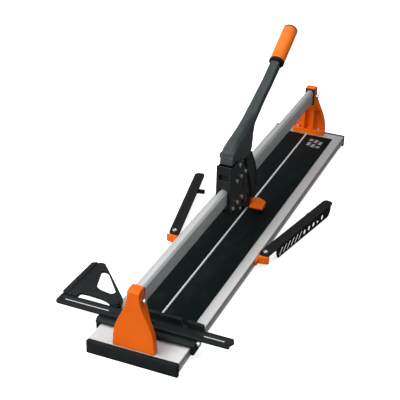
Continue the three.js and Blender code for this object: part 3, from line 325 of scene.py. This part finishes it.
FINISHES = {
    "base": extruded_aluminium("anodised_base", colour(208, 207, 206), colour(198, 197, 196), 0.5, 900.0),
    "rail": extruded_aluminium("anodised_rail", colour(214, 216, 217), colour(202, 205, 207), 0.46, 1300.0),
    "steel": turned_steel("zinc_plated_steel", colour(232, 233, 234), colour(200, 203, 206), 0.34),
    "hard_steel": turned_steel("ground_tool_steel", colour(188, 190, 194), colour(126, 130, 136), 0.2),
    "orange": orange_enamel("orange_enamel", colour(238, 106, 6), colour(231, 98, 4)),
    "grip": soft_grip("orange_soft_grip", colour(248, 122, 14), colour(240, 110, 8)),
    "casting": dark_casting("grey_cast_lever", colour(66, 73, 74), colour(50, 56, 57), 0.3, 1500.0),
    "carriage": dark_casting("grey_cast_carriage", colour(30, 35, 36), colour(20, 24, 25), 0.36, 1300.0),
    "fence": dark_casting("grey_cast_fence", colour(21, 27, 28), colour(14, 19, 20), 0.46, 1100.0),
    "mat": mat_rubber("ribbed_mat_rubber"),
    "cap": black_moulding("end_cap_rubber", colour(26, 31, 31), colour(17, 21, 21), 0.6),
    "plastic": black_moulding("black_moulding", colour(20, 24, 24), colour(12, 15, 15), 0.46),
    "ink": pale_ink("pale_print"),
}


# ---------------------------------------------------------------- making pieces


def link_mesh(name, mesh, finish):
    piece = bpy.data.objects.new(name, mesh)
    scene.collection.objects.link(piece)
    mesh.materials.clear()
    mesh.materials.append(FINISHES[finish])
    return piece


def baked(piece):
    """The piece with its modifiers made real and removed."""
    graph = bpy.context.evaluated_depsgraph_get()
    graph.update()
    mesh = bpy.data.meshes.new_from_object(piece.evaluated_get(graph))
    mesh.name = piece.name
    piece.modifiers.clear()
    piece.data = mesh
    return piece


def smooth_but_sharp(piece, angle=SHARP_ANGLE):
    piece.data.shade_smooth()
    piece.data.set_sharp_from_angle(angle=angle)
    return piece


def merged_mesh(node, flat=True):
    """A copy of a CAD node's mesh with its loose corners joined and, if asked, its flat faces dissolved."""
    mesh = nodes[node].data.copy()
    shape = bmesh.new()
    shape.from_mesh(mesh)
    bmesh.ops.remove_doubles(shape, verts=shape.verts, dist=MERGE_DISTANCE)
    if flat:
        bmesh.ops.dissolve_limit(
            shape, angle_limit=FLAT_ANGLE, verts=shape.verts, edges=shape.edges,
            use_dissolve_boundaries=False,
        )
    shape.to_mesh(mesh)
    shape.free()
    return mesh


def stand_for(piece, *stood_for):
    """The piece rides with the body of the nodes that it stands for, and those nodes are hidden."""
    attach(piece, node_body[stood_for[0]])
    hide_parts(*stood_for)
    return piece


def machined(node, finish, edge=0.35, segments=2):
    """A CAD node with its sharp edges broken, as on an extruded, milled or stamped part."""
    piece = link_mesh(f"{node}_finished", merged_mesh(node), finish)
    bevel = piece.modifiers.new("broken_edges", "BEVEL")
    bevel.width = edge * MM
    bevel.segments = segments
    bevel.limit_method = "ANGLE"
    bevel.angle_limit = math.radians(35.0)
    bevel.use_clamp_overlap = True
    smooth_but_sharp(baked(piece))
    return stand_for(piece, node)


def cast(node, finish, grain=1.0, rounds=4):
    """A CAD node with every edge softened all over, as on a die casting or a moulding."""
    piece = link_mesh(f"{node}_finished", merged_mesh(node, flat=False), finish)
    remesh = piece.modifiers.new("skin", "REMESH")
    remesh.mode = "VOXEL"
    remesh.voxel_size = grain * MM
    soften = piece.modifiers.new("soften", "SMOOTH")
    soften.factor = 0.5
    soften.iterations = rounds
    baked(piece)
    piece.data.shade_smooth()
    return stand_for(piece, node)


# ---------------------------------------------------------------- repeated parts, made by Geometry Nodes


class Builder(NodeTree):
    """A Geometry Nodes tree under construction, with its named inputs."""

    def __init__(self, name):
        self.tree = bpy.data.node_groups.new(name, "GeometryNodeTree")
        self.tree.interface.new_socket("Geometry", in_out="INPUT", socket_type="NodeSocketGeometry")
        self.tree.interface.new_socket("Geometry", in_out="OUTPUT", socket_type="NodeSocketGeometry")
        self.enter = self.tree.nodes.new("NodeGroupInput")
        self.leave = self.tree.nodes.new("NodeGroupOutput")
        self.sockets = {}

    def asks(self, name, kind="NodeSocketFloat", value=0.0):
        socket = self.tree.interface.new_socket(name, in_out="INPUT", socket_type=kind)
        if value is not None:
            socket.default_value = value
        self.sockets[name] = socket.identifier
        return self.enter.outputs[name]

    def vector(self, x, y, z):
        return self.node("ShaderNodeCombineXYZ", {"X": x, "Y": y, "Z": z}).outputs["Vector"]

    def moved(self, geometry, place=(0.0, 0.0, 0.0), turn=(0.0, 0.0, 0.0)):
        inputs = {"Geometry": geometry, "Translation": place, "Rotation": turn}
        return self.node("GeometryNodeTransform", inputs).outputs["Geometry"]

    def joined(self, *parts):
        made = self.tree.nodes.new("GeometryNodeJoinGeometry")
        for part in parts:
            self.tree.links.new(part, made.inputs["Geometry"])
        return made.outputs["Geometry"]

    def close(self, geometry, finish):
        """Ends the tree: instances become real and take their finish."""
        real = self.node("GeometryNodeRealizeInstances", {"Geometry": geometry}).outputs["Geometry"]
        painted = self.node("GeometryNodeSetMaterial", {"Geometry": real, "Material": finish})
        self.tree.links.new(painted.outputs["Geometry"], self.leave.inputs["Geometry"])
        return self


def grown(name, builder, values, points=()):
    """Runs a tree on the given points and keeps the result as a plain mesh."""
    mesh = bpy.data.meshes.new(name)
    mesh.from_pydata([tuple(point) for point in points], [], [])
    piece = bpy.data.objects.new(name, mesh)
    scene.collection.objects.link(piece)
    modifier = piece.modifiers.new("grow", "NODES")
    modifier.node_group = builder.tree
    for key, value in values.items():
        modifier[builder.sockets[key]] = value
    return baked(piece)


def screw_builder():
    """Socket-head screws: chamfered head with a six-sided socket, and a plain shank, on every input point."""
    make = Builder("socket_head_screws")
    head = make.asks("Head Radius", value=5.0 * MM)
    height = make.asks("Head Height", value=4.0 * MM)
    shank = make.asks("Shank Radius", value=3.0 * MM)
    length = make.asks("Shank Length", value=20.0 * MM)
    turn = make.asks("Turn", "NodeSocketVector", (0.0, 0.0, 0.0))
    facets = 40
    shank_facets = 24
    chamfer_share = 0.2
    socket_share = 0.52
    socket_floor = 0.42
    chamfer = make.maths("MULTIPLY", height, chamfer_share)
    wall = make.maths("SUBTRACT", height, chamfer)

    def drum(radius, deep, at, sides=facets, top=None):
        if top is None:
            made = make.node("GeometryNodeMeshCylinder", {"Vertices": sides, "Radius": radius, "Depth": deep})
            lift = make.maths("ADD", at, make.maths("MULTIPLY", deep, 0.5))
        else:
            made = make.node("GeometryNodeMeshCone", {
                "Vertices": sides, "Radius Top": top, "Radius Bottom": radius, "Depth": deep,
            })
            lift = at
        return make.moved(made.outputs["Mesh"], make.vector(0.0, 0.0, lift))

    body = drum(head, wall, 0.0)
    crown = drum(head, chamfer, wall, top=make.maths("SUBTRACT", head, chamfer))
    solid = make.node("GeometryNodeMeshBoolean", operation="UNION")
    make.tree.links.new(make.joined(body, crown), solid.inputs["Mesh 2"])
    socket_width = make.maths("MULTIPLY", head, socket_share)
    socket = drum(socket_width, height, make.maths("MULTIPLY", height, socket_floor), 6)
    cut = make.node("GeometryNodeMeshBoolean", operation="DIFFERENCE")
    make.tree.links.new(solid.outputs["Mesh"], cut.inputs["Mesh 1"])
    make.tree.links.new(socket, cut.inputs["Mesh 2"])
    below = make.maths("MULTIPLY", length, -1.0)
    rod = drum(shank, length, below, shank_facets)
    screw = make.joined(cut.outputs["Mesh"], rod)
    points = make.node("GeometryNodeMeshToPoints", {"Mesh": make.enter.outputs["Geometry"]}).outputs["Points"]
    placed = make.node("GeometryNodeInstanceOnPoints", {
        "Points": points, "Instance": screw, "Rotation": turn,
    })
    return make.close(placed.outputs["Instances"], FINISHES["steel"])


SCREWS = screw_builder()
TURNS = {
    "+Z": Vector((0.0, 0.0, 0.0)),
    "-Z": Vector((math.pi, 0.0, 0.0)),
    "+X": Vector((0.0, math.pi / 2, 0.0)),
}


def screws(name, screw_nodes, way, head_height, shank_radius):
    """One piece for all the like screws of a body: each sits in its node's box, sized by the last one."""
    seats = []
    for node in screw_nodes:
        low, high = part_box(node)
        middle = (low + high) / 2
        if way == "+Z":
            seats.append(Vector((middle.x, middle.y, high.z - head_height)))
        elif way == "-Z":
            seats.append(Vector((middle.x, middle.y, low.z + head_height)))
        else:
            seats.append(Vector((high.x - head_height, middle.y, middle.z)))
    last_size = high - low
    across = last_size.y
    along = last_size.x if way == "+X" else last_size.z
    piece = grown(name, SCREWS, {
        "Head Radius": across / 2,
        "Head Height": head_height,
        "Shank Radius": shank_radius,
        "Shank Length": along - head_height,
        "Turn": TURNS[way],
    }, seats)
    smooth_but_sharp(piece)
    return stand_for(piece, *screw_nodes)


def mark_builder():
    """Printed or inlaid marks: a small slab of the asked size on every input point."""
    make = Builder("printed_marks")
    size = make.asks("Size", "NodeSocketVector", (1.0 * MM, 1.0 * MM, 0.2 * MM))
    finish = make.asks("Finish", "NodeSocketMaterial", None)
    slab = make.node("GeometryNodeMeshCube", {"Size": size}).outputs["Mesh"]
    points = make.node("GeometryNodeMeshToPoints", {"Mesh": make.enter.outputs["Geometry"]}).outputs["Points"]
    placed = make.node("GeometryNodeInstanceOnPoints", {"Points": points, "Instance": slab})
    return make.close(placed.outputs["Instances"], finish)


MARKS = mark_builder()


def marks(name, beside, finish, size, points):
    """Marks that belong to the same body as the node that they are printed on."""
    piece = grown(name, MARKS, {"Size": size, "Finish": FINISHES[finish]}, points)
    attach(piece, node_body[beside])
    return piece


def ruler_scale():
    """Pale strips in the ruler's two grooves, with a dark tick every 2 mm and a longer one every 10 mm."""
    low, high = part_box("ruler")
    groove_y = low.y + 14.6 * MM
    groove_floor = high.z - 1.1 * MM
    strip_thick = 0.45 * MM
    strip_wide = 2.6 * MM
    tick_thick = 0.12 * MM
    pitch = 2.0 * MM
    ticks_per_ten = 5
    spans = {
        "left": (low.x + 16.0 * MM, low.x + 112.0 * MM),
        "right": (high.x - 59.6 * MM, high.x - 17.6 * MM),
    }
    for side, (left, right) in spans.items():
        middle = Vector(((left + right) / 2, groove_y, groove_floor + strip_thick / 2))
        strip = Vector((right - left, strip_wide, strip_thick))
        marks(f"{side}_scale_strip", "ruler", "ink", strip, [middle])
        count = int((right - left) / pitch)
        tick_z = groove_floor + strip_thick
        short = []
        long = []
        for step in range(1, count):
            place = Vector((left + step * pitch, groove_y - strip_wide * 0.32, tick_z))
            if step % ticks_per_ten:
                short.append(place)
            else:
                long.append(place + Vector((0.0, strip_wide * 0.14, 0.0)))
        short_tick = Vector((0.3 * MM, strip_wide * 0.3, tick_thick))
        long_tick = Vector((0.4 * MM, strip_wide * 0.58, tick_thick))
        marks(f"{side}_scale_ticks", "ruler", "plastic", short_tick, short)
        marks(f"{side}_scale_tens", "ruler", "plastic", long_tick, long)


def tile_grid():
    """A small printed grid of dashes near the far end of the right mat, in place of any wording."""
    low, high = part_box("right_mat")
    dash = Vector((9.0 * MM, 2.4 * MM, 0.16 * MM))
    start = Vector((low.x + 22.0 * MM, high.y - 68.0 * MM, high.z + dash.z / 2 - 0.02 * MM))
    pitch = Vector((13.5 * MM, 7.0 * MM, 0.0))
    columns = 3
    rows = 7
    gap_every = 4
    dashes = [
        start + Vector((column * pitch.x, row * pitch.y, 0.0))
        for column in range(columns)
        for row in range(rows)
        if (column + row) % gap_every
    ]
    marks("tile_grid_mark", "right_mat", "ink", dash, dashes)


# ---------------------------------------------------------------- the cutter

machined("base_plate", "base", 0.5, 2)
machined("rail", "rail", 0.5, 2)
machined("breaking_bar", "ink", 0.3, 2)
for mat_node in ("left_mat", "right_mat"):
    machined(mat_node, "mat", 0.5, 2)
for cap_node in ("front_end_cap", "rear_end_cap", "middle_foot"):
    machined(cap_node, "cap", 1.2, 3)
for liner_node in ("front_rail_liner", "rear_rail_liner"):
    machined(liner_node, "plastic", 0.2, 2)

for support_node in ("front_support", "rear_support"):
    cast(support_node, "orange", 1.0, 4)
cast("breaker_foot", "orange", 0.7, 5)
for side in ("left", "right"):
    cast(f"{side}_arm_clip", "orange", 0.8, 3)
    machined(f"{side}_arm", "plastic", 0.5, 2)
    machined(f"{side}_arm_peg", "plastic", 0.4, 2)

machined("fence_bar", "fence", 0.5, 2)
machined("ruler", "fence", 0.4, 2)
machined("mitre_square", "fence", 0.5, 2)
machined("ruler_lock", "plastic", 0.4, 2)
machined("mitre_screw", "plastic", 0.4, 2)
machined("fence_clamp", "steel", 0.3, 2)

cast("carriage_body", "carriage", 0.78, 3)
cast("handle_lever", "casting", 1.1, 6)
cast("breaker_arm", "carriage", 0.8, 4)
cast("wheel_fork", "carriage", 0.6, 3)
machined("grip_collar", "plastic", 0.4, 2)
machined("grip_sleeve", "grip", 0.8, 3)
machined("grip_end_cap", "plastic", 0.5, 2)
machined("scoring_wheel", "hard_steel", 0.05, 1)
machined("handle_pivot_pin", "steel", 0.3, 2)
for index in (1, 2, 3):
    machined(f"top_roller_{index}", "hard_steel", 0.3, 2)
for index in (1, 2):
    machined(f"lower_roller_{index}", "hard_steel", 0.3, 2)

FOOT_BOLTS = [f"{end}_foot_bolt_{side}" for end in ("front", "rear") for side in ("left", "right")]
AXLES = [f"top_roller_axle_{index}" for index in (1, 2, 3)]
AXLES += [f"lower_roller_axle_{index}" for index in (1, 2)]
AXLES += ["wheel_fork_pin"]
screws("support_foot_bolts", FOOT_BOLTS, "+Z", 4.5 * MM, 3.0 * MM)
screws("rail_clamp_bolts", ["front_clamp_bolt", "rear_clamp_bolt"], "+X", 4.0 * MM, 2.8 * MM)
screws("carriage_axles", AXLES, "+X", 2.6 * MM, 3.0 * MM)
screws("wheel_axle_screw", ["wheel_axle"], "+X", 2.4 * MM, 2.2 * MM)
screws("breaker_arm_screws", ["breaker_arm_screw"], "-Z", 3.6 * MM, 2.8 * MM)
screws("breaker_foot_screws", ["breaker_foot_screw"], "-Z", 3.0 * MM, 2.4 * MM)
screws("left_arm_screw", ["left_arm_pivot_screw"], "+Z", 3.0 * MM, 3.0 * MM)
screws("right_arm_screw", ["right_arm_pivot_screw"], "+Z", 3.0 * MM, 3.0 * MM)

ruler_scale()
tile_grid()


# ---------------------------------------------------------------- floor, light and camera


def floor():
    """A wide sheet that neither lights the cutter from below nor shows in its finishes."""
    half = FLOOR_HALF
    corners = [(-half, -half, 0), (half, -half, 0), (half, half, 0), (-half, half, 0)]
    mesh = bpy.data.meshes.new("studio_floor")
    mesh.from_pydata(corners, [], [(0, 1, 2, 3)])
    piece = bpy.data.objects.new("studio_floor", mesh)
    scene.collection.objects.link(piece)
    mesh.materials.append(floor_paint("pale_floor"))
    piece.visible_diffuse = False
    piece.visible_glossy = False


def soft_box(name, place, aim, size, power):
    light = bpy.data.lights.new(name, "AREA")
    light.shape = "RECTANGLE"
    light.size = size[0]
    light.size_y = size[1]
    light.energy = power
    holder = bpy.data.objects.new(name, light)
    holder.location = place
    holder.rotation_euler = (Vector(aim) - Vector(place)).to_track_quat("-Z", "Y").to_euler()
    scene.collection.objects.link(holder)


def room_light(bright, dim):
    """Soft light from all round: bright above, in front and on the left, dim on the other sides."""
    world = bpy.data.worlds.new("studio_air")
    world.use_nodes = True
    tree = world.node_tree
    background = tree.nodes["Background"]
    background.inputs["Color"].default_value = (1.0, 1.0, 1.0, 1.0)
    direction = tree.nodes.new("ShaderNodeTexCoord").outputs["Generated"]
    towards = tree.nodes.new("ShaderNodeVectorMath")
    towards.operation = "DOT_PRODUCT"
    towards.inputs[1].default_value = LIGHT_SIDE
    tree.links.new(direction, towards.inputs[0])
    fade = tree.nodes.new("ShaderNodeMapRange")
    tree.links.new(towards.outputs["Value"], fade.inputs["Value"])
    for key, value in {"From Min": -0.35, "From Max": 0.8, "To Min": dim, "To Max": bright}.items():
        fade.inputs[key].default_value = value
    tree.links.new(fade.outputs["Result"], background.inputs["Strength"])
    scene.world = world


def camera():
    data = bpy.data.cameras.new("view")
    data.lens = CAMERA_LENS
    data.clip_end = CAMERA_REACH
    holder = bpy.data.objects.new("view", data)
    holder.location = CAMERA_PLACE
    look = (CAMERA_AIM - CAMERA_PLACE).to_track_quat("-Z", "Y")
    holder.rotation_mode = "QUATERNION"
    holder.rotation_quaternion = look @ Matrix.Rotation(CAMERA_ROLL, 3, "Z").to_quaternion()
    scene.collection.objects.link(holder)
    scene.camera = holder


floor()
soft_box("key_light", (-1.35, -2.35, 2.25), (0.0, 0.0, 0.1), (1.8, 1.4), 62.0)
soft_box("top_light", (0.3, 0.4, 2.8), (0.0, 0.1, 0.0), (2.4, 2.4), 22.0)
room_light(ROOM_BRIGHT, ROOM_DIM)
camera()
scene.view_settings.view_transform = "Standard"
